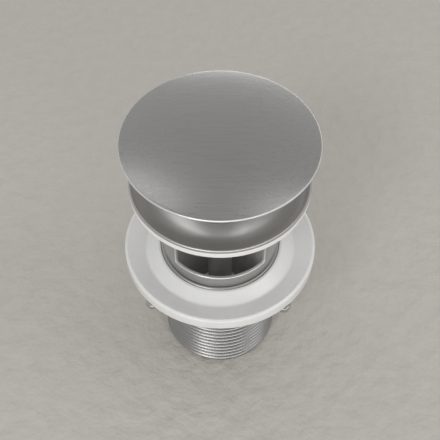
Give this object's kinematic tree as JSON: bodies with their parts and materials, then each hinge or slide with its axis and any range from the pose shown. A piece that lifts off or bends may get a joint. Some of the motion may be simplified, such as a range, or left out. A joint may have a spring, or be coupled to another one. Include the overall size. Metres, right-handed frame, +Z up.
{
  "type": "sprung plug basin waste",
  "caption": "Basin waste with a brushed mushroom cap that presses shut and springs open, dished flange, slotted neck, white clamp washer, lugged backnut and threaded tail.",
  "frame": {"origin": "on the axis, at the underside of the flange seal, the face that sits on the basin", "axes": "+Z up along the waste's axis, from the tail to the cap; the overflow slots face -Y and +Y"},
  "size_m": [0.0675, 0.0674, 0.1072],
  "materials": {
    "brushed_metal": "fine straight brushing, satin",
    "white_rubber": "smooth, semi-matt",
    "white_plastic": "glossy moulded",
    "natural_plastic": "smooth, semi-matt",
    "plated_nut": "plated, satin",
    "dark_chrome": "bright plated",
    "black_rubber": "matt",
    "plain_steel": "plain drawn",
    "clear_silicone": "smooth, semi-matt"
  },
  "bodies": {
    "waste": {"waste_body": "brushed_metal", "flange_seal": "white_rubber", "cartridge_barrel": "dark_chrome", "gland_nut": "dark_chrome", "gland_ring": "black_rubber", "lock_washer": "plain_steel", "lock_nut": "plain_steel", "return_spring": "plain_steel"},
    "plug": {"plug_cap": "brushed_metal", "plug_disc": "natural_plastic", "plug_seal": "clear_silicone", "plunger": "plain_steel"},
    "cam": {"cam_collar": "natural_plastic"},
    "clamp": {"clamp_washer": "white_plastic", "slip_ring": "natural_plastic"},
    "nut": {"backnut": "plated_nut"}
  },
  "joints": [
    {"name": "plug_slide", "type": "slide", "parent": "waste", "child": "plug", "axis": [0, 0, 1], "range_m": [-0.0103, 0], "stiffness_N_per_m": 500, "springref_m": 0.012, "deforming": ["return_spring"]},
    {"name": "collar_turn", "type": "hinge", "parent": "waste", "child": "cam", "pos_m": [0, 0, -0.017], "axis": [0, 0, 1], "range_deg": [0, 45]},
    {"name": "clamp_slide", "type": "slide", "parent": "waste", "child": "clamp", "axis": [0, 0, 1], "range_m": [-0.0358, 0.00462]},
    {"name": "nut_turn", "type": "hinge", "parent": "clamp", "child": "nut", "pos_m": [0, 0, -0.0406], "axis": [0, 0, 1], "range_deg": [-5580, 720]}
  ],
  "couplings": [
    {"joint": "collar_turn", "follows": "plug_slide", "rad_per_m": -76.252},
    {"joint": "clamp_slide", "follows": "nut_turn", "m_per_rad": 0.0003675}
  ]
}
